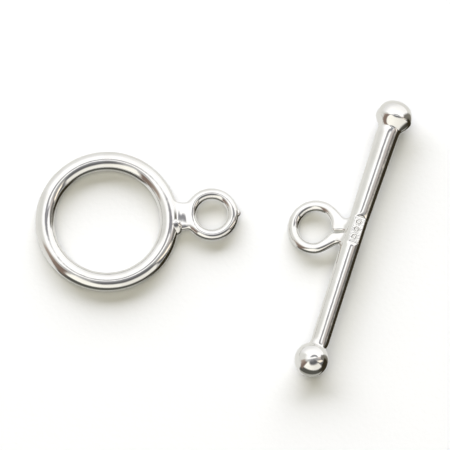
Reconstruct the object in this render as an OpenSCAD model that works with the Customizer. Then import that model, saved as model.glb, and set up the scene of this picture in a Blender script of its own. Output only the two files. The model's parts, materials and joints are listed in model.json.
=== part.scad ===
// A toggle clasp for a necklace or bracelet: a ring, and the bar that passes through it and
// turns across it. Each is soldered from round wire into one solid, and each has a small
// loop of its own for the last link of a chain. They lie apart on a surface, as set down.
// Millimetres, +Z up. The ring is at the left and the bar at the right, along +X. The
// origin is on the surface, under the middle of the two pieces taken together.

/* [Ring] */
// Outside diameter of the ring
ring_d = 11; // [9:0.1:14]
// Thickness of the ring's round wire
ring_wire_d = 1.36; // [1.1:0.02:1.7]

/* [Ring loop] */
// Diameter of the hole that takes the chain's last link
ring_loop_hole_d = 2.5; // [2:0.05:3]
// Thickness of the loop's round wire
ring_loop_wire_d = 0.84; // [0.7:0.02:1]
// Space between the ring's outside and the loop's outside, which the neck bridges
ring_loop_gap = 0.5; // [0.35:0.05:0.65]
// Direction of the loop from the ring's middle, turned from +X
ring_loop_turn = 3.9; // [-10:0.1:10]
// Radius of the hollow at each side of the neck
neck_hollow_r = 0.76; // [0.68:0.02:0.9]
// Thickness of the two round legs that the neck is made of
neck_leg_d = 0.74; // [0.6:0.02:0.8]
// Thickness of the solder between the legs, which leaves a valley along the neck
neck_web_t = 0.5; // [0.3:0.05:0.6]
// Diameter of the cut-off casting nib at the loop's far side
nib_d = 0.5; // [0.3:0.05:0.7]
// How far the nib stands out from the loop
nib_proud = 0.14; // [0.05:0.01:0.2]

/* [Bar] */
// Distance between the middles of the two ball ends
bar_span = 20.05; // [16:0.05:26]
// Thickness of the bar at its upper ball
bar_upper_d = 1.57; // [1.3:0.01:1.8]
// Thickness of the bar at its lower ball
bar_lower_d = 1.38; // [1.2:0.01:1.7]
// Diameter of the upper ball
upper_ball_d = 2.8; // [2.5:0.05:3.2]
// Diameter of the lower ball
lower_ball_d = 2.6; // [2.4:0.05:3.2]
// How far each ball has melted off the bar's axis, the upper one away from the loop
ball_shift = 0.2; // [0:0.02:0.3]
// Radius of the hollow where the bar flares into a ball
flare_hollow_r = 0.6; // [0.4:0.05:0.8]
// How far the flare stands out from the bar
flare_proud = 0.2; // [0.1:0.02:0.25]
// How far from the ball's surface the flare starts
flare_start = 0.1; // [0:0.02:0.3]
// Lean of the bar from +Y towards +X
bar_turn = 17.5; // [0:0.5:30]

/* [Bar loop] */
// Diameter of the hole that takes the chain's last link
bar_loop_hole_d = 2.55; // [2:0.05:3]
// Thickness of the loop's round wire
bar_loop_wire_d = 0.82; // [0.7:0.02:1]
// Distance from the bar's axis to the middle of the hole
bar_loop_reach = 3.08; // [2.95:0.01:3.2]
// How far the hole is from the middle of the bar, towards the upper ball
bar_loop_along = 0.2; // [-1:0.05:1]
// Radius of the hollow between the loop's upper leg and the bar
upper_leg_hollow_r = 0.43; // [0.35:0.01:0.55]
// Thickness of the upper leg
upper_leg_d = 0.8; // [0.7:0.02:0.9]
// Thickness of the lower leg
lower_leg_d = 0.78; // [0.7:0.02:0.9]
// How far the lower leg is from the middle of the hole, towards the lower ball
lower_leg_drop = 0.56; // [0.46:0.02:0.6]
// Thickness of the solder between the two legs
leg_web_t = 0.6; // [0.4:0.05:0.65]
// Width of the slit that is left between the wire's two ends, at the hole
slit_w = 0.3; // [0.2:0.02:0.36]
// Width of the slit where it meets the bar
slit_end_w = 0.15; // [0.1:0.01:0.2]
// How far the slit leans towards the upper ball on its way to the bar
slit_lean = 0.25; // [0.1:0.01:0.35]

/* [Both loops] */
// Depth of the narrow land that deburring leaves round each hole
hole_land = 0.04; // [0.02:0.01:0.06]
// How far soldered surfaces run into each other
solder_sink = 0.04; // [0.02:0.01:0.06]

/* [Struck flat] */
// Length of the flat where a quality mark would be struck, here left bare
flat_l = 2.1; // [1.6:0.1:3]
// Width of the flat
flat_w = 0.8; // [0.5:0.05:0.9]
// How far the flat is from the middle of the bar, towards the upper ball
flat_along = 0.39; // [-2:0.01:2]
// Angle of the flat round the bar from straight up, away from the loop
flat_roll = 13; // [0:1:30]

/* [Layout] */
// Space between the two loops, along X
pieces_gap = 3.9; // [2:0.1:10]
// How far the ring's middle lies beyond the middle of the whole, along +Y
ring_offset = 1.46; // [-4:0.01:4]

/* [Hidden] */
$fn = 72;

ring_r = ring_d / 2;
ring_wire_r = ring_wire_d / 2;
ring_mid_r = ring_r - ring_wire_r;

ring_loop_hole_r = ring_loop_hole_d / 2;
ring_loop_wire_r = ring_loop_wire_d / 2;
ring_loop_mid_r = ring_loop_hole_r - hole_land + ring_loop_wire_r;
ring_loop_r = ring_loop_mid_r + ring_loop_wire_r;
ring_loop_x = ring_r + ring_loop_gap + ring_loop_r;

neck_leg_r = neck_leg_d / 2;
// The hollow's circle touches the outsides of the ring and of the loop, less the sink.
hollow_to_ring = ring_r + neck_hollow_r - solder_sink;
hollow_to_loop = ring_loop_r + neck_hollow_r - solder_sink;
hollow_x = (ring_loop_x^2 + hollow_to_ring^2 - hollow_to_loop^2) / (2 * ring_loop_x);
hollow_y = sqrt(hollow_to_ring^2 - hollow_x^2);
leg_y = hollow_y - neck_hollow_r - neck_leg_r;

bar_upper_r = bar_upper_d / 2;
bar_lower_r = bar_lower_d / 2;
upper_ball_r = upper_ball_d / 2;
lower_ball_r = lower_ball_d / 2;
bar_pitch = asin((upper_ball_r - lower_ball_r) / bar_span);
bar_mid_z = (upper_ball_r + lower_ball_r) / 2;

// Share of the bar's length below a place that is along it from its middle
function bar_share(along) = 0.5 + along / bar_span;
function bar_r_at(along) = bar_lower_r + (bar_upper_r - bar_lower_r) * bar_share(along);
function axis_z_at(along) = lower_ball_r + (upper_ball_r - lower_ball_r) * bar_share(along);

bar_loop_hole_r = bar_loop_hole_d / 2;
bar_loop_wire_r = bar_loop_wire_d / 2;
bar_loop_mid_r = bar_loop_hole_r - hole_land + bar_loop_wire_r;
bar_loop_r = bar_loop_mid_r + bar_loop_wire_r;
// The loop leans down about the bar's axis until its far side lies on the surface.
loop_drop = axis_z_at(bar_loop_along) - bar_loop_wire_r;
loop_tilt = asin(loop_drop / (bar_loop_reach + bar_loop_mid_r));
bar_loop_flat_reach = bar_loop_reach * cos(loop_tilt);
bar_r_at_loop = bar_r_at(bar_loop_along);

upper_leg_r = upper_leg_d / 2;
lower_leg_r = lower_leg_d / 2;
// The hollow's circle touches the outside of the loop and the side of the bar, less the sink.
leg_hollow_x = bar_r_at_loop + upper_leg_hollow_r - solder_sink;
leg_hollow_to_loop = bar_loop_r + upper_leg_hollow_r - solder_sink;
leg_hollow_y = sqrt(leg_hollow_to_loop^2 - (bar_loop_reach - leg_hollow_x)^2);
upper_leg_y = leg_hollow_y - upper_leg_hollow_r - upper_leg_r;

flat_bar_r = bar_r_at(flat_along);
flat_depth_from_axis = sqrt(flat_bar_r^2 - (flat_w / 2)^2);

// Along X from the ring's outside: the ring, its loop, the gap, the bar's loop, the bar
// and the upper ball. The whole is then set with its middle over the origin.
ring_loop_far_x = ring_r + ring_loop_x * cos(ring_loop_turn) + ring_loop_r;
bar_loop_mid_x = ring_loop_far_x + pieces_gap + bar_loop_r;
bar_mid_x = bar_loop_mid_x + bar_loop_flat_reach * cos(bar_turn) - bar_loop_along * sin(bar_turn);
ball_mid_x = bar_mid_x + ball_shift * cos(bar_turn) + bar_span / 2 * sin(bar_turn);
whole_w = ball_mid_x + upper_ball_r;
bar_mid_y = (lower_ball_r - upper_ball_r) / 2;

// A round wire bent to a full circle in the XY plane
module wire_circle(mid_r, wire_r) {
    rotate_extrude()
        translate([mid_r, 0])
            circle(r = wire_r);
}

// A round wire bent to part of a circle in the XY plane, from one angle to another
module wire_arc(mid_r, wire_r, from, to) {
    rotate([0, 0, from])
        rotate_extrude(angle = to - from)
            translate([mid_r, 0])
                circle(r = wire_r);
}

// The two legs that curve out of the loop and into the ring, and the solder between them
module ring_neck() {
    to_ring = atan2(hollow_y, hollow_x) + 180;
    to_loop = 360 - atan2(hollow_y, ring_loop_x - hollow_x);
    for (side = [0, 1])
        mirror([0, side, 0])
            translate([hollow_x, hollow_y, 0])
                wire_arc(neck_hollow_r + neck_leg_r, neck_leg_r, to_ring, to_loop);
    web_l = ring_loop_x - ring_loop_mid_r - ring_mid_r;
    translate([ring_mid_r, -leg_y, -neck_web_t / 2])
        cube([web_l, 2 * leg_y, neck_web_t]);
}

module ring_loop() {
    translate([ring_loop_x, 0, 0])
        wire_circle(ring_loop_mid_r, ring_loop_wire_r);
    // casting nib
    translate([ring_loop_x + ring_loop_r + nib_proud - nib_d / 2, 0, 0])
        sphere(d = nib_d);
}

module toggle_ring() {
    color("silver")
        translate([ring_r - whole_w / 2, ring_offset, ring_wire_r])
            rotate([0, 0, ring_loop_turn])
                difference() {
                    union() {
                        wire_circle(ring_mid_r, ring_wire_r);
                        ring_neck();
                        ring_loop();
                    }
                    translate([ring_loop_x, 0, 0])
                        cylinder(r = ring_loop_hole_r, h = 2 * ring_wire_d, center = true);
                }
}

// The bar's own frame: +Y runs along its axis to the upper ball, and the loop is towards -X
module in_bar_frame() {
    translate([bar_mid_x - whole_w / 2, bar_mid_y, bar_mid_z])
        rotate([0, 0, -bar_turn])
            rotate([bar_pitch, 0, 0])
                children();
}

// The loop's own frame, turned down about the bar's axis
module in_loop_frame() {
    translate([0, bar_loop_along, 0])
        rotate([0, -loop_tilt, 0])
            children();
}

module bar_rod() {
    translate([0, -bar_span / 2, 0])
        rotate([-90, 0, 0])
            cylinder(r1 = bar_lower_r, r2 = bar_upper_r, h = bar_span);
}

// A ball melted at the bar's end, off its axis, and the flare that leads into it.
// way is 1 at the upper end and -1 at the lower one.
module ball_end(way, ball_r, rod_r) {
    flare_l = ball_r + flare_start;
    translate([way * ball_shift, way * bar_span / 2, 0])
        sphere(r = ball_r);
    translate([0, way * bar_span / 2, 0])
        rotate([way * 90, 0, 0])
            rotate_extrude()
                difference() {
                    square([rod_r + flare_proud, flare_l]);
                    translate([rod_r + flare_hollow_r, flare_l])
                        circle(r = flare_hollow_r);
                }
}

// The wire's two legs: the upper one curves into the bar under a full fillet of solder, and
// the lower one butts against it
module loop_legs() {
    to_loop = 180 + atan2(leg_hollow_y, bar_loop_reach - leg_hollow_x);
    translate([-leg_hollow_x, leg_hollow_y, 0])
        wire_arc(upper_leg_hollow_r + upper_leg_r, upper_leg_r, to_loop, 360);
    butt_x = sqrt(bar_loop_mid_r^2 - lower_leg_drop^2);
    translate([butt_x - bar_loop_reach, -lower_leg_drop, 0])
        rotate([0, 90, 0])
            cylinder(r = lower_leg_r, h = bar_loop_reach - butt_x);
    translate([bar_loop_mid_r - bar_loop_reach, -lower_leg_drop, -leg_web_t / 2])
        cube([bar_loop_reach - bar_loop_mid_r, lower_leg_drop + upper_leg_y, leg_web_t]);
}

// The slit between the wire's ends, from the hole to the side of the bar
module loop_slit() {
    mouth_x = bar_loop_hole_r / 2 - bar_loop_reach;
    end_x = solder_sink - bar_r_at_loop;
    translate([0, 0, -bar_loop_wire_d])
        linear_extrude(height = 2 * bar_loop_wire_d)
            polygon([
                [mouth_x, -slit_w / 2],
                [end_x, slit_lean - slit_end_w / 2],
                [end_x, slit_lean + slit_end_w / 2],
                [mouth_x, slit_w / 2]
            ]);
}

module toggle_bar() {
    color("silver")
        in_bar_frame()
            difference() {
                union() {
                    bar_rod();
                    ball_end(1, upper_ball_r, bar_upper_r);
                    ball_end(-1, lower_ball_r, bar_lower_r);
                    in_loop_frame() {
                        translate([-bar_loop_reach, 0, 0])
                            wire_circle(bar_loop_mid_r, bar_loop_wire_r);
                        loop_legs();
                    }
                }
                in_loop_frame() {
                    loop_slit();
                    translate([-bar_loop_reach, 0, 0])
                        cylinder(r = bar_loop_hole_r, h = 2 * bar_loop_wire_d, center = true);
                }
                // struck flat
                translate([0, flat_along, 0])
                    rotate([0, flat_roll, 0])
                        translate([-flat_bar_r, -flat_l / 2, flat_depth_from_axis])
                            cube([2 * flat_bar_r, flat_l, flat_bar_r]);
            }
}

toggle_ring();
toggle_bar();
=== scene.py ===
# %% [markdown]
# A silver toggle clasp, lying loose on white paper: a ring, and the bar that passes through it
# and turns across it. Each is a few bits of round wire soldered into one polished piece.
# Polished metal has almost no colour of its own. What the eye reads is the smooth run of its
# reflections, so the lesson is about two things: meshes whose curvature flows without a break
# through every solder joint, and surroundings worth reflecting.

# %% Load the measured solids
import json
from math import asin, atan2, cos, degrees, pi, radians, sin, tan

import bmesh
import bpy
from mathutils import Matrix, Vector


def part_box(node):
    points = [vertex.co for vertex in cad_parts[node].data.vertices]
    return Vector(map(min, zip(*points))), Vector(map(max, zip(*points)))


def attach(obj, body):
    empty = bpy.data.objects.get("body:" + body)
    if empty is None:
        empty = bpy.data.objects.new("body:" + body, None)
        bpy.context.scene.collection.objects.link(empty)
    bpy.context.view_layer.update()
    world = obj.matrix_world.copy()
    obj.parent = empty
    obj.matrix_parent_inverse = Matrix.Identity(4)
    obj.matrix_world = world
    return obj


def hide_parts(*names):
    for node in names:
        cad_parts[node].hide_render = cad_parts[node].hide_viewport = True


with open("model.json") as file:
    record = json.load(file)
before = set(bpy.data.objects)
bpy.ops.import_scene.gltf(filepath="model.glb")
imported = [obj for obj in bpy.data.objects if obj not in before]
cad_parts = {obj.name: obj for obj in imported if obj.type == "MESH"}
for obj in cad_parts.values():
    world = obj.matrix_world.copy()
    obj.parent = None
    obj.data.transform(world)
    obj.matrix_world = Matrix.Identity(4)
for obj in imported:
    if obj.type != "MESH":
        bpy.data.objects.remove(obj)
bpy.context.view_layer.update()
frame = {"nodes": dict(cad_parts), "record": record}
record = frame["record"]
print("solids:", sorted(frame["nodes"]))

# %% [markdown]
# The wires are about a millimetre thick, and many mesh tools merge or skip what is closer than
# a tenth of a millimetre. So each piece is modelled in millimetres, in a frame of its own that
# suits its shape, and is set in its place in metres at the very end. The places come from the
# loaded solids: their boxes, and the two loop holes that the record states as mounts.

# %% Places from the frame
MM = 0.001


def box_mm(node):
    """A solid's lowest and highest corner, in millimetres."""
    low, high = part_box(node)
    return Vector(low) / MM, Vector(high) / MM


hole = {m["name"]: m for m in record["mounts"]}
ring_low, ring_high = box_mm("toggle_ring")
bar_low, bar_high = box_mm("toggle_bar")
ring_r = (ring_high.y - ring_low.y) / 2
ring_wire_r = (ring_high.z - ring_low.z) / 2
ring_mid = Vector((ring_low.x + ring_r, ring_low.y + ring_r, ring_wire_r))
ring_hole_mid = Vector(hole["ring_loop"]["pos_m"]) / MM
ring_hole_r = hole["ring_loop"]["dims"]["r_mm"]
bar_hole_mid = Vector(hole["bar_loop"]["pos_m"]) / MM
bar_hole_axis = Vector(hole["bar_loop"]["axis"]).normalized()
bar_hole_r = hole["bar_loop"]["dims"]["r_mm"]
upper_ball_r = (bar_high.z - bar_low.z) / 2
upper_ball_mid = bar_high - Vector((upper_ball_r,) * 3)
print("ring radius", round(ring_r, 3), "wire radius", round(ring_wire_r, 3))
print("upper ball", [round(v, 3) for v in upper_ball_mid])

# %% [markdown]
# The rest are the real sizes that the boxes don't give, in millimetres. All but the last three
# are as the solids have them.

# %% Sizes of the wires and the bar
RING_LOOP_WIRE_R = 0.42
BAR_LOOP_WIRE_R = 0.41
# Each loop's hole is reamed this deep into the round of its wire
HOLE_LAND = 0.04
# Along the bar between the middles of its balls. The wire tapers towards the lower one.
BAR_SPAN = 20.05
BAR_UPPER_R = 0.785
BAR_LOWER_R = 0.69
LOWER_BALL_R = 1.3
# Off the bar's axis, to the right for the upper ball and to the left for the lower one
BALL_SHIFT = 0.2
# Clockwise from the direction straight away from the camera
BAR_TURN = radians(17.5)
# The ring's wire is wider than it is high, by this much in radius
RING_WIDER = 0.036
# The bar's loop is larger than its round hole, in radius, and its middle lies to the lower left of
# the hole's. It is lifted too, so that its far side still only touches the paper.
BAR_LOOP_LARGER = 0.06
BAR_LOOP_SHIFT = (-0.052, -0.085, 0.022)

# %% [markdown]
# The camera looks almost straight down, 76 degrees above the paper: the ring then shows as an
# ellipse 0.97 as high as it is wide. A long lens from 0.4 m keeps the shapes free of
# perspective, as in any catalogue picture of small metal findings.

# %% Camera
CAMERA_ELEVATION = radians(76)
CAMERA_DISTANCE = 0.4
PICTURE_PIXELS = 450
PIXELS_PER_MM = 13.0
SENSOR_MM = 36
CLIP_NEAR = 0.01
CLIP_FAR = 10
# The place on the paper that shows in the middle of the picture
AIM = Vector((0.074, 1.336, 0)) * MM

view_width = PICTURE_PIXELS / PIXELS_PER_MM * MM
towards_camera = Vector((0, -cos(CAMERA_ELEVATION), sin(CAMERA_ELEVATION)))
bpy.ops.object.camera_add()
camera = bpy.context.object
camera.location = AIM + CAMERA_DISTANCE * towards_camera
camera.rotation_euler = (pi / 2 - CAMERA_ELEVATION, 0, 0)
camera.data.sensor_width = SENSOR_MM
camera.data.lens = SENSOR_MM * CAMERA_DISTANCE / view_width
camera.data.clip_start = CLIP_NEAR
camera.data.clip_end = CLIP_FAR
camera.data.dof.use_dof = False
bpy.context.scene.camera = camera
print("lens", round(camera.data.lens, 1), "mm")

# %% [markdown]
# A few helpers take the place of the hand on the mouse. Each one selects by place or runs an
# operator, and what was selected before is deselected first, because operators act on all that
# is selected.

# %% Selecting and moving


def clear():
    """Deselects every piece, before a new one is added."""
    bpy.ops.object.select_all(action="DESELECT")


def alone(piece):
    """Makes the piece the only one selected, and the active one."""
    clear()
    piece.select_set(True)
    bpy.context.view_layer.objects.active = piece


def settle():
    """Makes the place, turn and scale of the selected piece part of its mesh."""
    bpy.ops.object.transform_apply(location=True, rotation=True, scale=True)


def edit(piece):
    """Opens a piece in edit mode."""
    alone(piece)
    bpy.ops.object.mode_set(mode="EDIT")


def done():
    """Leaves edit mode."""
    bpy.ops.object.mode_set(mode="OBJECT")


def pick(piece, test, kind="VERT", rims=False):
    """In edit mode, selects the points, edges or faces whose middle passes the test. With rims,
    only those on the edge of an opening are tried."""
    bpy.ops.mesh.select_mode(type=kind)
    bpy.ops.mesh.select_all(action="DESELECT")
    mesh = bmesh.from_edit_mesh(piece.data)
    found = 0
    for part in {"VERT": mesh.verts, "EDGE": mesh.edges, "FACE": mesh.faces}[kind]:
        if kind == "VERT":
            middle = part.co
        elif kind == "EDGE":
            middle = (part.verts[0].co + part.verts[1].co) / 2
        else:
            middle = part.calc_center_median()
        if test(middle) and not (rims and not part.is_boundary):
            part.select_set(True)
            found += 1
    mesh.select_flush_mode()
    bmesh.update_edit_mesh(piece.data)
    return found


def turn(angle, about):
    """Turns what is selected counter-clockwise. Without a window the operator turns the other way."""
    bpy.ops.transform.rotate(value=-angle, orient_axis="Z", center_override=about)


def modifier(piece, kind, **settings):
    """Adds a modifier and applies it at once."""
    alone(piece)
    bpy.ops.object.modifier_add(type=kind)
    added = piece.modifiers[-1]
    for name, value in settings.items():
        setattr(added, name, value)
    bpy.ops.object.modifier_apply(modifier=added.name)


def join(name, *pieces):
    """Joins pieces into the first one and names it."""
    alone(pieces[0])
    for piece in pieces:
        piece.select_set(True)
    bpy.ops.object.join()
    pieces[0].name = pieces[0].data.name = name
    return pieces[0]


# %% [markdown]
# A subdivision surface shrinks inside its cage. For an even ring of points the loss is known:
# a surface point is two thirds of its own cage point and a third of its two neighbours. So each
# cage is made larger by the inverse, and the finished wire has the asked thickness.

# %% Cage size


def cage(radius, sides):
    """The radius of an even ring of cage points whose subdivided surface has the asked radius."""
    return radius * 3 / (2 + cos(2 * pi / sides))


print("a 12-sided cage for a radius of 1:", round(cage(1, 12), 4))

# %% [markdown]
# The ring and its loop are two rings of wire with a solder neck between them. Two separate
# tubes pushed into each other would show a hard seam, and their reflections would stop dead at
# it. Instead a patch of faces is opened in each tube, the two openings are bridged, and a
# subdivision surface runs through all of it, which makes the soft saddle of real solder.
# The ring lies round the origin of its own frame, with its loop towards X.

# %% Ring, loop and neck
RING_STEPS = 60
RING_SIDES = 12
LOOP_STEPS = 24
LOOP_SIDES = 8
# The patch opened in each tube is this many steps long and two faces high
OPENED_STEPS = 4
# Leaves room in the tests for what lies on a wire, as a factor on the wire's radius
SLACK = 1.1

ring_to_hole = ring_hole_mid - ring_mid
ring_turn = atan2(ring_to_hole.y, ring_to_hole.x)
loop_x = ring_to_hole.to_2d().length
ring_half_wide = ring_wire_r + RING_WIDER
ring_mid_r = ring_r - ring_half_wide
loop_mid_r = ring_hole_r + RING_LOOP_WIRE_R - HOLE_LAND

clear()
bpy.ops.mesh.primitive_torus_add(major_segments=RING_STEPS, minor_segments=RING_SIDES,
                                 major_radius=cage(ring_mid_r, RING_STEPS),
                                 minor_radius=cage(ring_half_wide, RING_SIDES))
ring = bpy.context.object
ring.scale.z = ring_wire_r / ring_half_wide
settle()
bpy.ops.mesh.primitive_torus_add(major_segments=LOOP_STEPS, minor_segments=LOOP_SIDES,
                                 major_radius=cage(loop_mid_r, LOOP_STEPS),
                                 minor_radius=cage(RING_LOOP_WIRE_R, LOOP_SIDES),
                                 location=(loop_x, 0, 0), rotation=(0, 0, pi))
ring = join("toggle_ring_silver", ring, bpy.context.object)


def facing(mid_x, way, mid_r, wire_r, steps):
    """A test for the faces of a tube's outer side that face the neck."""
    def test(middle):
        out = Vector(((middle.x - mid_x) * way, middle.y))
        near = abs(atan2(out.y, out.x)) < OPENED_STEPS * pi / steps
        outer = mid_r < out.length < mid_r + SLACK * wire_r
        return near and outer and abs(middle.z) < wire_r / 2
    return test


edit(ring)
opened = pick(ring, facing(0, 1, ring_mid_r, ring_wire_r, RING_STEPS), "FACE")
bpy.ops.mesh.delete(type="FACE")
opened_loop = pick(ring, facing(loop_x, -1, loop_mid_r, RING_LOOP_WIRE_R, LOOP_STEPS), "FACE")
bpy.ops.mesh.delete(type="FACE")
pick(ring, lambda middle: True, "EDGE", rims=True)
bpy.ops.mesh.bridge_edge_loops(number_cuts=1)
print("neck: faces opened in the ring", opened, "and in the loop", opened_loop)

# %% [markdown]
# The bridge has one row of points half way. They could be left where the bridge put them, but a
# drop of solder is crowned. So the upper points are raised along the middle and lowered at the
# sides, and the lower ones the other way round.

# %% Crown of the neck
# For each column, from the middle outwards: how far to the side it is, and its height in the end
NECK_COLUMNS = ((0.0, 0.40), (0.55, 0.34), (1.05, 0.24))
COLUMN_NEAR = 0.16
# The row's points lie between these heights before they are moved
ROW_LOW = 0.1
ROW_HIGH = 0.5

ring_rim_x = ring_mid_r + ring_wire_r * cos(2 * pi / RING_SIDES)
loop_rim_x = loop_x - loop_mid_r - RING_LOOP_WIRE_R * cos(2 * pi / LOOP_SIDES)
waist_x = (ring_rim_x + loop_rim_x) / 2

for column_y, height in NECK_COLUMNS:
    def in_column(p):
        in_row = abs(p.x - waist_x) < COLUMN_NEAR and abs(abs(p.y) - column_y) < COLUMN_NEAR
        return in_row and ROW_LOW < abs(p.z) < ROW_HIGH
    found = pick(ring, in_column)
    now = max(v.co.z for v in bmesh.from_edit_mesh(ring.data).verts if v.select)
    bpy.ops.transform.resize(value=(1, 1, height / now), center_override=(0, 0, 0))
    print("neck column at", column_y, "has", found, "points")
done()

# %% [markdown]
# Solder flows where it likes. It filled the loop's side of the neck up to the hole's edge, so
# there the crest of the wire is drawn inwards.

# %% Solder at the neck
# Degrees from the neck's direction, and how far the crest is drawn towards the hole's middle
CREST_DRAWN = ((0, 0.90), (15, 0.91), (30, 0.95))
# For picking its points: how near they are to it, in millimetres and in degrees, and how high
CREST_NEAR = 0.15
CREST_NEAR_DEGREES = 4
CREST_LOW = 0.4

crest_r = cage(loop_mid_r, LOOP_STEPS)
edit(ring)
for angle, drawn in CREST_DRAWN:
    def on_crest(p):
        out = Vector((loop_x - p.x, p.y))
        beside = abs(abs(degrees(atan2(out.y, out.x))) - angle) < CREST_NEAR_DEGREES
        return beside and abs(out.length - crest_r) < CREST_NEAR and abs(p.z) > CREST_LOW
    found = pick(ring, on_crest)
    bpy.ops.transform.resize(value=(drawn, drawn, 1), center_override=(loop_x, 0, 0))
    print("crest at", angle, "has", found, "points")
done()

# %% [markdown]
# On the loop's far side the cutters left a small nib. A cone stuck on would end in a hard line,
# so four faces of the wire are inset and drawn out, and the subdivision softens them.

# %% Cut-off nib
# It grows from the faces within this half width and half height
NIB_HALF_WIDE = 0.4
NIB_HALF_HIGH = 0.25
NIB_INSET = 0.13
NIB_NARROWED = 0.65
NIB_PROUD = 0.16
# Factors that round off its tip: outwards, across and upwards
NIB_TIP = (1, 0.85, 0.9)

far_x = loop_x + loop_mid_r


def of_nib(m):
    """A test for the faces on the loop's far side that the nib grows from."""
    return m.x > far_x and abs(m.y) < NIB_HALF_WIDE and abs(m.z) < NIB_HALF_HIGH


edit(ring)
nib_faces = pick(ring, of_nib, "FACE")
bpy.ops.mesh.inset(thickness=NIB_INSET, depth=0)
bpy.ops.transform.resize(value=(1, NIB_NARROWED, 1), center_override=(far_x, 0, 0))
bpy.ops.mesh.extrude_region_move(TRANSFORM_OT_translate={"value": (NIB_PROUD, 0, 0)})
bpy.ops.transform.resize(value=NIB_TIP, center_override=(far_x, 0, 0))
done()
print("nib: faces", nib_faces)

# %% [markdown]
# A drop of solder stayed on the neck's side towards the front. It is a small flattened ball that
# leans to the front, sunk most of the way into the neck. It isn't bridged to it, because the real
# drop ends in a fine line too. A sphere with poles would pinch the reflections at its tips, so
# the ball is made from a cube, subdivided and pushed out to a sphere.

# %% Drop of solder, and the ring subdivided
LEVELS = 3
DROP_CUTS = 3
# Half sizes along the neck, across it and upwards, then the middle and the lean, in the ring's
# own frame
DROP_RADII = (0.52, 0.68, 0.36)
DROP_MIDDLE = (5.20, -0.88, 0.20)
DROP_LEAN = radians(35)


def cube_ball(radius, cuts):
    """A ball made from a cube, at the origin, whose subdivided surface has the asked radius."""
    clear()
    bpy.ops.mesh.primitive_cube_add(size=2)
    made = bpy.context.object
    edit(made)
    bpy.ops.mesh.select_all(action="SELECT")
    bpy.ops.mesh.subdivide(number_cuts=cuts)
    bpy.ops.transform.tosphere(value=1)
    done()
    reach = max(v.co.length for v in made.data.vertices)
    around = 4 * (cuts + 1)
    made.scale = (cage(cage(radius, around), around) / reach,) * 3
    return made


solder_drop = cube_ball(1, DROP_CUTS)
solder_drop.location = DROP_MIDDLE
solder_drop.rotation_euler.x = DROP_LEAN
solder_drop.scale = solder_drop.scale * Vector(DROP_RADII)
settle()
ring = join("toggle_ring_silver", ring, solder_drop)
modifier(ring, "SUBSURF", levels=LEVELS, render_levels=LEVELS)
print("ring:", len(ring.data.polygons), "faces")

# %% [markdown]
# The bar rests on its two balls, which differ in size, so it is pitched a little, and it has
# rolled until its loop touches the paper on the left. It is easiest to model lying along Y, in
# the plane of its own loop. This cell works out the placing that brings it back from there, and
# the middle of the loop's hole in that frame.

# %% Bar's frame
half_span = BAR_SPAN / 2
bar_pitch = asin((upper_ball_r - LOWER_BALL_R) / BAR_SPAN)
bar_turned = Matrix.Rotation(-BAR_TURN, 4, "Z") @ Matrix.Rotation(bar_pitch, 4, "X")
bar_mid = upper_ball_mid - bar_turned @ Vector((BALL_SHIFT, half_span, 0))
axis_in_bar = bar_turned.inverted() @ bar_hole_axis
loop_tilt = atan2(-axis_in_bar.x, axis_in_bar.z)
bar_placed = Matrix.Translation(bar_mid) @ bar_turned @ Matrix.Rotation(-loop_tilt, 4, "Y")
hole_mid = bar_placed.inverted() @ bar_hole_mid
print("loop's tilt", round(degrees(loop_tilt), 2), "hole", [round(v, 3) for v in hole_mid])

# %% [markdown]
# The bar starts as an open 16-sided tube, turned so that one of its sides faces the loop
# squarely. Bisecting it adds a ring of points wherever the shape needs one: close together at
# the solder joint, and far apart along the plain stretches, where the tube is straight.

# %% Bar tube
BAR_SIDES = 16
# The tube stops this far from the middle of each ball, and a bridge closes the rest
LOWER_GAP = 1.25
UPPER_GAP = 1.01
# Where the loop's two legs meet the bar, along it from the middle of the hole
LOWER_SEAT = (-1.05, 0.05)
UPPER_SEAT = (0.14, 1.26)
# The ends of the struck flat, along the bar from the middle of the hole, and the length of the
# walls beyond them
FLAT_ENDS = (-0.66, 1.44)
FLAT_WALL = 0.12
# Rings of points on the plain stretches, along the bar from its middle
PLAIN_RINGS = (-8.0, -5.5, -3.2, -1.7, 2.3, 4.2, 6.2, 8.0)
# Towards the upper ball the wire is thicker on its right, by this much in radius at its end
FLARE = 0.11
FLARE_START = 1.6
# What is closer than this lies in the same place
HAIR = 0.01

tube_low = LOWER_GAP - half_span
tube_high = half_span - UPPER_GAP
flat_rings = (FLAT_ENDS[0] - FLAT_WALL, *FLAT_ENDS, FLAT_ENDS[1] + FLAT_WALL)
near_hole = [hole_mid.y + end for end in (*LOWER_SEAT, *UPPER_SEAT, *flat_rings)]
bar_rings = sorted([*PLAIN_RINGS, *near_hole])


def bar_r_at(along):
    """The radius of the tapered wire, without the flare."""
    return BAR_LOWER_R + (BAR_UPPER_R - BAR_LOWER_R) * (0.5 + along / BAR_SPAN)


def flare_at(along):
    """How much the flare adds to the radius."""
    return FLARE * max(0, (along - FLARE_START) / (tube_high - FLARE_START))


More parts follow.
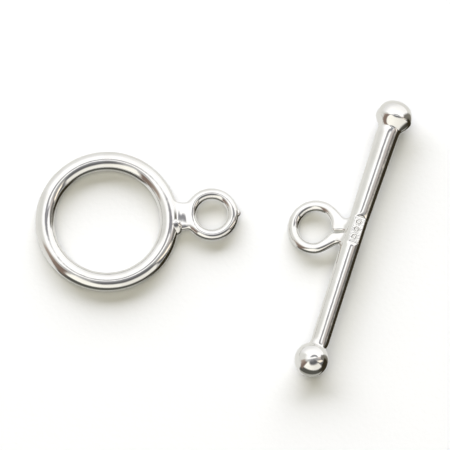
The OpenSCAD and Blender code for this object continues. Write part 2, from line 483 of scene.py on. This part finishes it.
clear()
bpy.ops.mesh.primitive_cylinder_add(vertices=BAR_SIDES, radius=1, depth=tube_high - tube_low,
                                    end_fill_type="NOTHING", rotation=(pi / 2, 0, 0),
                                    location=(0, (tube_low + tube_high) / 2, 0))
bar = bpy.context.object
settle()
bar.rotation_euler = (0, pi / BAR_SIDES, 0)
settle()
edit(bar)
for along in bar_rings:
    bpy.ops.mesh.select_all(action="SELECT")
    bpy.ops.mesh.bisect(plane_co=(0, along, 0), plane_no=(0, 1, 0))
for along in [tube_low, *bar_rings, tube_high]:
    pick(bar, lambda p: abs(p.y - along) < HAIR)
    wide = cage(bar_r_at(along) + flare_at(along), BAR_SIDES)
    bpy.ops.transform.resize(value=(wide, 1, wide), center_override=(0, along, 0))
    bpy.ops.transform.translate(value=(flare_at(along), 0, 0))
done()
print("bar tube:", len(bar_rings) + 2, "rings of points")

# %% [markdown]
# Jewellers strike a mark into the bar, which leaves a small flat on top of it, a little away from
# the loop. Cutting the flat off with a boolean would leave long thin faces that shade badly.
# Instead two rows of points are lowered to the plane of their neighbours, and the edges round
# the flat are creased so that it stays crisp.

# %% Struck flat
# Round the bar, from the loop's side over the top
FLAT_MIDDLE = radians(112.5)
FLAT_CREASE = 0.55
EDGE_NEAR = 0.05

side_angle = 2 * pi / BAR_SIDES
# The flat takes up three of the tube's sides
flat_edge = 1.5 * side_angle
flat_way = Vector((-cos(FLAT_MIDDLE), 0, sin(FLAT_MIDDLE)))
flat_low, flat_high = (hole_mid.y + end for end in FLAT_ENDS)


def off_flat(p):
    """The angle round the bar between a point and the middle of the flat."""
    return abs(atan2(p.z, -p.x) - FLAT_MIDDLE)


def along_flat(p):
    """A test for what lies between the flat's two ends."""
    return flat_low - HAIR < p.y < flat_high + HAIR


edit(bar)
lowered = pick(bar, lambda p: off_flat(p) < side_angle and along_flat(p))
flat_depth = cage(bar_r_at(hole_mid.y), BAR_SIDES) * (cos(side_angle / 2) - cos(flat_edge))
bpy.ops.transform.translate(value=-flat_depth * flat_way)
pick(bar, lambda m: along_flat(m) and abs(off_flat(m) - flat_edge) < EDGE_NEAR, "EDGE")
bpy.ops.transform.edge_crease(value=FLAT_CREASE)
for end in (flat_low, flat_high):
    pick(bar, lambda m: abs(m.y - end) < HAIR and off_flat(m) < flat_edge - EDGE_NEAR, "EDGE")
    bpy.ops.transform.edge_crease(value=FLAT_CREASE)
done()
print("struck flat:", lowered, "points lowered by", round(flat_depth, 3), "mm")

# %% [markdown]
# The wire's ends were melted until they drew up into balls. Each is a cube pushed out to a
# sphere again, opened on the side of the bar so that the tube can be bridged to it. The rim of
# each opening has 16 points, as the tube has. In the lower ball a patch of four by four faces is
# opened. The upper ball ran a little way back along the wire, so its whole half towards the bar
# is opened, and its rim is drawn out, ring by ring, to a cone.

# %% Ball ends
UPPER_CUTS = 3
LOWER_CUTS = 5
# Faces are opened up to this slope off the bar's axis, which in the upper ball is its whole half
UPPER_OPENED = 100
LOWER_OPENED = 0.66
# The upper ball's cone, in ball radii: how far each ring is from the middle, its half width
# and its half height
CONE_RINGS = ((0.10, 0.99, 0.985), (0.25, 0.93, 0.89), (0.45, 0.79, 0.72), (0.62, 0.64, 0.585))


def ball(way, radius, cuts, opened_slope, rings=(), turned=0):
    """A ball for the bar's upper end (way 1) or lower end (way -1), open towards the bar."""
    def towards_bar(m):
        return m.y * way < 0 and max(abs(m.x), abs(m.z)) < opened_slope * abs(m.y)

    made = cube_ball(radius, cuts)
    made.rotation_euler = (0, turned, 0)
    settle()
    edit(made)
    opened = pick(made, towards_bar, "FACE")
    bpy.ops.mesh.delete(type="FACE")
    pick(made, lambda p: True, rims=True)
    out_before, wide_before, high_before = 0, 1, 1
    for out, wide, high in rings:
        grown = (wide / wide_before, 1, high / high_before)
        bpy.ops.mesh.extrude_region_move()
        bpy.ops.transform.translate(value=(0, (out_before - out) * way * radius, 0))
        bpy.ops.transform.resize(value=grown, center_override=(0, 0, 0))
        out_before, wide_before, high_before = out, wide, high
    done()
    shift = Vector((BALL_SHIFT * way, half_span * way, 0))
    made.rotation_euler = (0, loop_tilt, 0)
    made.location = Matrix.Rotation(loop_tilt, 4, "Y") @ shift
    settle()
    print("ball:", opened, "faces opened,", len(rings), "rings drawn out")
    return made


upper = ball(1, upper_ball_r, UPPER_CUTS, UPPER_OPENED, CONE_RINGS, pi / BAR_SIDES)
lower = ball(-1, LOWER_BALL_R, LOWER_CUTS, LOWER_OPENED)

# %% [markdown]
# The bar's loop is bent from wire whose two ends butt against the bar, with a slit left between
# them. It is spun from an eight-sided section, two thirds of a turn: a whole torus would have to
# be cut open again.

# %% Bar loop
# The wire leaves its round this far from the bar's direction, on both sides
LEG_ANGLE = radians(60)
SPIN_STEPS = 16

bar_loop_mid_r = bar_hole_r + BAR_LOOP_WIRE_R - HOLE_LAND + BAR_LOOP_LARGER
loop_mid = hole_mid + Vector(BAR_LOOP_SHIFT)
spin_r = cage(bar_loop_mid_r, LOOP_STEPS)
wire_cage = cage(BAR_LOOP_WIRE_R, LOOP_SIDES)
spun = 2 * pi - 2 * LEG_ANGLE


def on_round(angle):
    """The middle of the wire at an angle round the loop."""
    return loop_mid + spin_r * Vector((cos(angle), sin(angle), 0))


clear()
bpy.ops.mesh.primitive_circle_add(vertices=LOOP_SIDES, radius=wire_cage)
loop = bpy.context.object
loop.rotation_euler = (0, 0, pi / LOOP_SIDES)
settle()
loop.rotation_euler = (pi / 2, 0, LEG_ANGLE)
loop.location = on_round(LEG_ANGLE)
settle()
edit(loop)
bpy.ops.mesh.select_all(action="SELECT")
bpy.ops.mesh.spin(steps=SPIN_STEPS, angle=-spun, center=loop_mid, axis=(0, 0, 1))
done()
print("loop:", len(loop.data.polygons), "faces")

# %% [markdown]
# Each end of the spun wire is drawn out towards the bar in three more sections. A section is
# moved to its place, widened along its own width and turned, all with the transform operators.
# The inner points of the two legs come close together: what is left between them is the slit.
# A widened section would be flatter at its edges, so its upper and lower points are spread again,
# and its inner points are drawn apart in height, so that the slit has walls.

# %% Legs
# Inner and outer point of each section, towards the bar and along it from the hole's middle
LEG_SECTIONS = {
    1: (((1.17, 0.47), (1.47, 1.50)),
        ((1.32, -0.18), (1.78, 1.30)),
        ((1.78, -0.06), (2.05, 1.18))),
    -1: (((1.14, -0.55), (1.56, -1.40)),
         ((1.38, -0.10), (1.87, -1.10)),
         ((1.78, -0.16), (2.10, -0.95))),
}
# How far a section's upper and lower points end from its edges
EDGE_ROUND = 0.14
SLIT_WALL = 1.7
# For picking a section's upper and lower points, and its inner ones
SECTION_HIGH = 0.3
SECTION_NEAR = 0.05
INNER_NEAR = 0.06


def ends_of(section):
    """The inner and the outer point of a section, in the bar's frame."""
    return (hole_mid + Vector((to_bar, along, 0)) for to_bar, along in section)


def draw_leg(way):
    """Draws the loop's upper (1) or lower (-1) end out through its sections."""
    angle = way * LEG_ANGLE
    middle = on_round(angle)
    width = 2 * wire_cage
    pick(loop, lambda p: (p - middle).length < SLACK * wire_cage, rims=True)
    for section in LEG_SECTIONS[way]:
        inner, outer = ends_of(section)
        across = outer - inner
        bpy.ops.mesh.extrude_region_move()
        bpy.ops.transform.translate(value=(inner + outer) / 2 - middle)
        middle = (inner + outer) / 2
        turn(-angle, middle)
        bpy.ops.transform.resize(value=(across.length / width, 1, 1), center_override=middle)
        angle = atan2(across.y, across.x)
        width = across.length
        turn(angle, middle)


def spread_leg(way):
    """Spreads the upper and lower points of a leg's sections, so that its edges stay round."""
    for number, section in enumerate(LEG_SECTIONS[way]):
        inner, outer = ends_of(section)
        middle, across = (inner + outer) / 2, outer - inner
        along = across.normalized()
        half_now = across.length / 2 * tan(pi / LOOP_SIDES)
        half_then = across.length / 2 - EDGE_ROUND

        def of_section(p):
            off = Vector((p.x, p.y, 0)) - middle
            in_line = off.cross(along).length < SECTION_NEAR
            in_place = abs(abs(off.dot(along)) - half_now) < SECTION_NEAR
            return in_line and in_place and abs(p.z) > SECTION_HIGH

        found = pick(loop, of_section)
        angle = atan2(across.y, across.x)
        turn(-angle, middle)
        bpy.ops.transform.resize(value=(half_then / half_now, 1, 1), center_override=middle)
        turn(angle, middle)
        if number > 0:
            walls = pick(loop, lambda p: (Vector((p.x, p.y, 0)) - inner).length < INNER_NEAR)
            bpy.ops.transform.resize(value=(1, 1, SLIT_WALL), center_override=(0, 0, 0))
            print("leg", way, "section", number, "points spread", found, "and in its wall", walls)


edit(loop)
for way in (1, -1):
    draw_leg(way)
for way in (1, -1):
    spread_leg(way)
done()

# %% [markdown]
# The tube, the balls and the loop become one skin, as the ring did. The faces that each leg
# covers are opened in the tube's left side, and then four pairs of rims are bridged: one at each
# ball and one at each leg. A bridge joins all the rims that are selected, so each pair is picked
# by its place.

# %% Join the bar
# Nothing but the tube comes this close to the bar's axis
TUBE_REACH = 1
# The legs' rims lie closer to the bar's middle than this, and the balls' rims further away
MIDDLE_STRETCH = 5
# The slit between the legs: a point on it from the hole's middle, and how steeply it leans towards
# the upper ball
SLIT_POINT = (1.78, -0.11, 0)
SLIT_SLOPE = 0.3

bar = join("toggle_bar_silver", bar, upper, lower, loop)


def seat(ends):
    """A test for the faces that a leg covers, three rows of them on the tube's left side."""
    low, high = (hole_mid.y + end for end in ends)

    def test(middle):
        on_tube = Vector((middle.x, middle.z)).length < TUBE_REACH
        on_left = abs(atan2(middle.z, -middle.x)) < 1.5 * side_angle
        return on_tube and on_left and low < middle.y < high
    return test


edit(bar)
for ends in (UPPER_SEAT, LOWER_SEAT):
    seats = pick(bar, seat(ends), "FACE")
    bpy.ops.mesh.delete(type="FACE")
    print("leg seat:", seats, "faces")


def above_slit(p):
    """Positive on the upper leg's side of the slit, negative on the lower leg's."""
    off = p - hole_mid - Vector(SLIT_POINT)
    return off.y - SLIT_SLOPE * off.x


for own in (lambda p: p.y > MIDDLE_STRETCH, lambda p: p.y < -MIDDLE_STRETCH,
            lambda p: abs(p.y) < MIDDLE_STRETCH and above_slit(p) > 0,
            lambda p: abs(p.y) < MIDDLE_STRETCH and above_slit(p) < 0):
    rim_edges = pick(bar, own, "EDGE", rims=True)
    bpy.ops.mesh.bridge_edge_loops()
    print("bridged", rim_edges, "edges")
bpy.ops.mesh.select_all(action="SELECT")
bpy.ops.mesh.normals_make_consistent(inside=False)
done()
modifier(bar, "SUBSURF", levels=LEVELS, render_levels=LEVELS)
print("bar:", len(bar.data.polygons), "faces")

# %% [markdown]
# Both pieces are finished in their own frames, in millimetres. Now each is brought to the place
# of its solid, in metres. The move is applied to the mesh, so that the piece's own origin is the
# part's origin and a pattern on object coordinates stays where it belongs.

# %% Set both pieces in place


def put(piece, placing):
    """Brings a piece from its own frame in millimetres into the part's frame in metres."""
    alone(piece)
    piece.matrix_world = Matrix.Scale(MM, 4) @ placing
    settle()
    bpy.ops.object.shade_smooth()
    top = max(v.co.z for v in piece.data.vertices)
    print(piece.name, "is", round(top / MM, 2), "mm high")


put(ring, Matrix.Translation(ring_mid) @ Matrix.Rotation(ring_turn, 4, "Z"))
put(bar, bar_placed)

# %% [markdown]
# Shader maths reads best as plain expressions. One small class wraps an output socket: sums,
# differences, products and quotients of wires add their Math nodes, and any other node comes
# from one method.

# %% Shader expressions


class Wire:
    """An output socket that can be used in an expression."""

    def __init__(self, tree, socket=None):
        self.tree = tree
        self.socket = socket

    def node(self, kind, settings=None, sockets=None, out=0):
        """Adds a node: its settings first, then the values or wires of its sockets."""
        made = self.tree.nodes.new(kind)
        for name, value in (settings or {}).items():
            setattr(made, name, value)
        for key, value in (sockets or {}).items():
            if isinstance(value, Wire):
                self.tree.links.new(value.socket, made.inputs[key])
            else:
                made.inputs[key].default_value = value
        return Wire(self.tree, made.outputs[out])

    def math(self, operation, *values):
        return self.node("ShaderNodeMath", {"operation": operation}, dict(enumerate(values)))

    def __add__(self, other):
        return self.math("ADD", self, other)

    def __sub__(self, other):
        return self.math("SUBTRACT", self, other)

    def __rsub__(self, other):
        return self.math("SUBTRACT", other, self)

    def __mul__(self, other):
        return self.math("MULTIPLY", self, other)

    def __truediv__(self, other):
        return self.math("DIVIDE", self, other)

    def __abs__(self):
        return self.math("ABSOLUTE", self)

    __radd__ = __add__
    __rmul__ = __mul__

    def rise(self, start, end):
        """Goes smoothly from 0 at start to 1 at end, also where start is above end."""
        return self.node("ShaderNodeMapRange", {"interpolation_type": "SMOOTHSTEP"},
                         {"Value": self, "From Min": start, "From Max": end})

    def mix(self, colour, other):
        """Mixes from one colour to another by this wire."""
        return self.node("ShaderNodeMix", {"data_type": "RGBA"}, {0: self, 6: colour, 7: other}, out=2)


def apart(wire):
    """The three parts of a vector."""
    split = wire.node("ShaderNodeSeparateXYZ", sockets={0: wire})
    return [Wire(wire.tree, split.socket.node.outputs[i]) for i in range(3)]


def vector(x, y, z):
    """A vector from its three parts."""
    return x.node("ShaderNodeCombineXYZ", sockets={0: x, 1: y, 2: z})


def noise(at, scale, detail=2):
    """Three-dimensional noise at a position."""
    return at.node("ShaderNodeTexNoise", {"noise_dimensions": "3D"},
                   {"Vector": at, "Scale": scale, "Detail": detail})


# %% [markdown]
# Even well polished silver isn't a perfect mirror. The surface swells a little where the buffing
# wheel dwelt, fine lines are left along the way the wire was drawn and buffed, and the gloss
# differs from place to place. An image of scratches would slide over the bends of the wire, so
# all of it is procedural, on object coordinates in millimetres.

# %% Silver
# Heights in millimetres from the lowest place to the highest, and features to the millimetre
SWELL, SWELL_SCALE = 0.010, 0.9
DRAWN_LINES, LINES_SCALE = 0.0025, 9
GRAIN, GRAIN_SCALE = 0.0006, 5
# The drawn lines are this many times as long as they are wide
LINE_STRETCH = 9
# Roughness of the best polished places, and what dull patches and deep lines each add to it
POLISH = 0.035
DULLER = 0.05
DULL_SCALE = 2.5
BRIGHT_SILVER = (0.88, 0.87, 0.85, 1)
WARM_SILVER = (0.84, 0.825, 0.80, 1)
TINT_SCALE = 0.6
# The noise values between which each patch or line fades in
DULL_PATCHES = (0.35, 0.75)
DEEP_LINES = (0.5, 0.8)
WARM_PATCHES = (0.4, 0.7)


def silver_place(name):
    """A new material and the position in millimetres in it."""
    made = bpy.data.materials.new(name)
    made.use_nodes = True
    spot = Wire(made.node_tree).node("ShaderNodeTexCoord", out=3)
    return made, spot.node("ShaderNodeVectorMath", {"operation": "SCALE"}, {0: spot, "Scale": 1 / MM})


def silver(place, lines, marks=None):
    """Polished silver. Place is the position in millimetres, lines the same drawn out along the
    wire, and marks a height in millimetres."""
    drawn = noise(lines, LINES_SCALE, detail=3)
    height = noise(place, SWELL_SCALE) * SWELL + drawn * DRAWN_LINES + noise(place, GRAIN_SCALE) * GRAIN
    if marks is not None:
        height = height + marks
    bump = height.node("ShaderNodeBump", sockets={"Strength": 1, "Distance": MM, "Height": height})
    dull = noise(place, DULL_SCALE).rise(*DULL_PATCHES)
    gloss = POLISH + dull * DULLER + drawn.rise(*DEEP_LINES) * DULLER
    tint = noise(place, TINT_SCALE).rise(*WARM_PATCHES).mix(BRIGHT_SILVER, WARM_SILVER)
    shader = place.tree.nodes["Principled BSDF"]
    shader.inputs["Metallic"].default_value = 1
    for key, value in (("Base Color", tint), ("Roughness", gloss), ("Normal", bump)):
        place.tree.links.new(value.socket, shader.inputs[key])


def dress(piece, material):
    """Gives a piece its one material."""
    piece.data.materials.clear()
    piece.data.materials.append(material)
    print(piece.name, "in", material.name, "with", len(material.node_tree.nodes), "nodes")


# %% [markdown]
# The drawn lines follow the wire. On the ring they run round its middle, so the noise reads the
# distance from it, the way round it and the height.

# %% Ring's silver
ring_silver, place = silver_place("silver_ring")
x, y, z = apart(place)
dx, dy = x - ring_mid.x, y - ring_mid.y
from_mid = x.math("SQRT", dx * dx + dy * dy)
silver(place, vector(from_mid, x.math("ARCTAN2", dy, dx) * (ring_mid_r / LINE_STRETCH), z))
dress(ring, ring_silver)

# %% [markdown]
# On the bar the lines run along it. The real bar's flat carries a struck mark. Here three small
# plain rings are punched in its place. Extruding them would take thousands of faces for lines a
# tenth of a millimetre wide, so they are height in the material. The metal round a punch is a
# little rough too.

# %% Bar's silver, with the punched rings
PUNCH_STEP = 0.6
PUNCH_COUNT = 3
PUNCH_ROW_SOFT = 0.02
PUNCH_R = 0.16
PUNCH_DEPTH = 0.06
# The groove is at full depth up to the first distance from its line and ends at the second
GROOVE_FULL = 0.02
GROOVE_END = 0.08
FLAT_ROUGH, FLAT_ROUGH_SCALE = 0.008, 7
# Between these heights over the bar's axis the marks fade in, so that none shows underneath
MARKS_FROM = 0.3
MARKS_TO = 0.4

bar_silver, place = silver_place("silver_bar")
x, y, z = apart(place)
along_bar = x * sin(BAR_TURN) + y * cos(BAR_TURN)
across_bar = x * cos(BAR_TURN) - y * sin(BAR_TURN)

flat_spot = bar_placed @ Vector((0, (flat_low + flat_high) / 2, 0))
axes = bar_placed.to_3x3()
off = place.node("ShaderNodeVectorMath", {"operation": "SUBTRACT"}, {0: place, 1: flat_spot})
flat_side = Vector((sin(FLAT_MIDDLE), 0, cos(FLAT_MIDDLE)))
to_end, to_side, up = (
    off.node("ShaderNodeVectorMath", {"operation": "DOT_PRODUCT"}, {0: off, 1: axes @ way}, out=1)
    for way in (Vector((0, 1, 0)), flat_side, flat_way))
nearest = to_end.math("WRAP", to_end, PUNCH_STEP / 2, -PUNCH_STEP / 2)
from_punch = nearest.math("SQRT", nearest * nearest + to_side * to_side)
row_end = PUNCH_COUNT * PUNCH_STEP / 2
in_row = abs(to_end).rise(row_end + PUNCH_ROW_SOFT, row_end - PUNCH_ROW_SOFT)
groove = abs(from_punch - PUNCH_R).rise(GROOVE_END, GROOVE_FULL)
marks = noise(place, FLAT_ROUGH_SCALE) * FLAT_ROUGH - groove * PUNCH_DEPTH
shown = in_row * up.rise(MARKS_FROM, MARKS_TO)
silver(place, vector(across_bar, along_bar / LINE_STRETCH, z), marks * shown)
dress(bar, bar_silver)

# %% [markdown]
# The clasp lies on white paper. A plane far larger than the picture is enough, with a fine bump
# for its fibres. It is left out of reflections: what the metal shows of the table is painted with
# the other surroundings further down, where it can be as uneven as the real one.

# %% White paper
PAPER_SIZE = 1.2
PAPER_WHITE = (0.80, 0.80, 0.80, 1)
FIBRES_SCALE = 2500
FIBRES_HEIGHT = 0.000012

clear()
bpy.ops.mesh.primitive_plane_add(size=PAPER_SIZE)
paper = bpy.context.object
paper.name = "white_paper"
paper_white = bpy.data.materials.new("white_paper")
paper_white.use_nodes = True
spot = Wire(paper_white.node_tree).node("ShaderNodeTexCoord", out=3)
fibres = noise(spot, FIBRES_SCALE, detail=3)
bump = fibres.node("ShaderNodeBump",
                   sockets={"Strength": 1, "Distance": FIBRES_HEIGHT, "Height": fibres})
shader = paper_white.node_tree.nodes["Principled BSDF"]
shader.inputs["Base Color"].default_value = PAPER_WHITE
shader.inputs["Roughness"].default_value = 1
bump.tree.links.new(bump.socket, shader.inputs["Normal"])
paper.visible_glossy = False
dress(paper, paper_white)

# %% [markdown]
# The shadows on the paper tell where the light comes from. They fall towards the front and a
# little to the right, stay even for about a wire's height and then fade, so the main lamp is a
# wide softbox low behind the part. What is left inside the shadows is a warmer light from above.
# Neither lamp shows in the metal: its reflections are given by the surroundings further down.

# %% Lamps
LAMP_DISTANCE = 0.6


def lamp(name, azimuth, elevation, wide, high, power, colour):
    """A soft rectangular lamp. Azimuth 0 is the front, 90 the right and 180 the back."""
    az, el = radians(azimuth), radians(elevation)
    way = Vector((sin(az) * cos(el), -cos(az) * cos(el), sin(el)))
    bpy.ops.object.light_add(type="AREA", location=way * LAMP_DISTANCE,
                             rotation=way.to_track_quat("Z", "Y").to_euler())
    made = bpy.context.object
    made.name = made.data.name = name
    made.data.shape = "RECTANGLE"
    made.data.size, made.data.size_y = wide, high
    made.data.energy = power
    made.data.color = colour
    made.visible_glossy = False
    made.visible_camera = False
    print(name, "of", power, "W at azimuth", azimuth, "and elevation", elevation)


lamp("back_softbox", azimuth=189, elevation=32, wide=1.12, high=0.46, power=9.3,
     colour=(0.965, 0.98, 1.06))
lamp("overhead_fill", azimuth=-20, elevation=78, wide=0.60, high=0.60, power=2.2,
     colour=(1.0, 0.965, 0.78))

# %% [markdown]
# The surroundings are what a polished thing looks like. They are a photographer's table: one
# huge softbox behind and above, a lower white card in front, the dark camera between them, and
# dark gaps where the cards end. Real cards could be hung round the part, but they would light
# the paper too, and each would need a lamp of its own. So they are painted on the sky by
# direction, as soft-edged patches of azimuth and elevation in degrees: azimuth 0 is the front,
# 90 the right and -90 the left. A brightness of 1 is the white of the picture.

# %% Painting on the sky
world = bpy.data.worlds.new("studio")
bpy.context.scene.world = world
world.use_nodes = True
sky_x, sky_y, sky_z = apart(Wire(world.node_tree).node("ShaderNodeTexCoord", out=0))
azimuth = sky_x.math("ARCTAN2", sky_x, 0 - sky_y) * (180 / pi)
elevation = sky_z.math("ARCSINE", sky_z) * (180 / pi)


def between(value, low, high, soft):
    """1 between two values, with soft edges."""
    return value.rise(low - soft, low + soft) * value.rise(high + soft, high - soft)


def grey(value):
    """A colour without a tint."""
    return (value, value, value, 1)


def paint(under, *patches):
    """Paints patches over a colour. Each is a mask and its own colour, and the last lies on top."""
    for mask, colour in patches:
        under = mask.mix(under, colour)
    return under


# %% [markdown]
# Behind and above are the large quiet shapes. The softbox fills the half behind, brightest up
# high and greyer towards the horizon, most of all on the left. The camera and its stand are dark
# in front of the zenith and greyer to both sides. The rim of a round shade crosses the softbox
# as a soft grey arc.

# %% Softbox, camera and shade
SHADE_MIDDLE = (0.41, -0.30)
SHADE_R = 0.58
SHADE_RIM = (0.31, 0.31, 0.33, 1)

# The softbox's front edge is straight, and runs a little askew
in_softbox = (sky_y - 0.162 * sky_x + 0.282 * sky_z).rise(0.10, 0.28)
near_horizon = elevation.rise(48, 8)
horizon_grey = sky_x.rise(-0.1, 0.75).mix(grey(0.88), grey(1.12))
softbox = near_horizon.mix(grey(1.22), horizon_grey)
camera_dark = paint(
    (0.145, 0.145, 0.15, 1),
    # Lighter towards the zenith, then on the left, on the right, and a warm glow low on the right
    (elevation.rise(58, 88), (0.42, 0.42, 0.44, 1)),
    (between(azimuth, -100, -25, 15) * elevation.rise(40, 55), grey(0.50)),
    (between(azimuth, 62, 118, 8) * elevation.rise(30, 46), grey(0.38)),
    (azimuth.rise(80, 90) * between(elevation, 30, 52, 6), (0.62, 0.56, 0.53, 1)))

# The shade is a circle on a flat ceiling. A direction meets the ceiling at x and y over z.
above = sky_z.math("MAXIMUM", sky_z, 0.05)
shade_x = sky_x / above - SHADE_MIDDLE[0]
shade_y = sky_y / above - SHADE_MIDDLE[1]
off_rim = abs(shade_x.math("SQRT", shade_x * shade_x + shade_y * shade_y) - SHADE_R)
on_rim = off_rim.rise(0.17, 0.05) * sky_y.rise(0, 0.15)

# %% [markdown]
# In front and at the sides stand cards: a low white one in front, whose upper edge climbs to the
# left and whose lower edge falls to the right, a brownish one on the left with a pale wall beyond
# it, a small warm one on the right and a dark stand beside it. Below the horizon lies the table,
# lit behind, and in the dark of the cards in front and to the right.

# %% Cards and table
# The white card's two edges, and its colour from left to right
front_top = 44 - azimuth * 0.1 + azimuth.rise(0, -45) * 12
front_bottom = azimuth * -0.15
on_front = between(azimuth, -46, 58, 4) * (elevation - front_top).rise(9, -9)
on_front = on_front * (elevation - front_bottom).rise(-9, 9)
front_white = azimuth.rise(-40, 45).mix((1.14, 1.12, 1.04, 1), (0.93, 0.91, 0.85, 1))

# The brownish card's lower edge climbs where the card ends on the left
left_bottom = (azimuth + 75).rise(25, 0) * 35 - 20
on_left = between(azimuth, -84, -45, 5) * elevation.rise(58, 40) * (elevation - left_bottom).rise(-8, 8)
left_brown = azimuth.rise(-84, -54).mix((0.44, 0.37, 0.32, 1), (0.235, 0.175, 0.145, 1))
on_wall = between(azimuth, -128, -58, 10) * elevation.rise(70, 42)

# The warm card is slanted
on_right = between(azimuth, 64, 83, 3) * between(elevation + (azimuth - 77) * 1.3, 12, 36, 7)
on_stand = between(azimuth, 86, 112, 4) * elevation.rise(32, 22)

unlit = paint(
    (0.10, 0.10, 0.088, 1),
    # Darkest in front on the right, less dark beyond the stand and close to the part
    (azimuth.rise(20, 62), (0.035, 0.028, 0.016, 1)),
    (azimuth.rise(92, 104), (0.22, 0.21, 0.18, 1)),
    (elevation.rise(-40, -54) * azimuth.rise(62, 42), (0.45, 0.45, 0.41, 1)))
table = between(azimuth, -58, 112, 5).mix((0.82, 0.82, 0.79, 1), unlit)

# %% [markdown]
# Now all of it is laid one over another, from the far to the near. The sky is only reflected:
# the paper is lit by the two lamps alone.

# %% Surroundings
colour = paint(
    camera_dark,
    (in_softbox, softbox),
    (on_wall, (0.77, 0.77, 0.74, 1)),
    (on_stand, (0.20, 0.19, 0.17, 1)),
    (on_rim * elevation.rise(45, 55), SHADE_RIM),
    (elevation.rise(2, -4), table),
    (on_left, left_brown),
    (on_front, front_white),
    (on_right, (1.18, 1.08, 0.93, 1)))
background = world.node_tree.nodes["Background"]
background.inputs["Strength"].default_value = 1
world.node_tree.links.new(colour.socket, background.inputs["Color"])
world.cycles_visibility.diffuse = False
bpy.context.scene.view_settings.view_transform = "Standard"
print("surroundings:", len(world.node_tree.nodes), "nodes")

# %% [markdown]
# Each finished piece stands for one solid of the frame. It moves with the frame's only body.

# %% Tie the pieces to the frame
for piece, node in ((ring, "toggle_ring"), (bar, "toggle_bar")):
    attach(piece, "root")
    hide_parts(node)
    print(piece.name, "stands for", node)
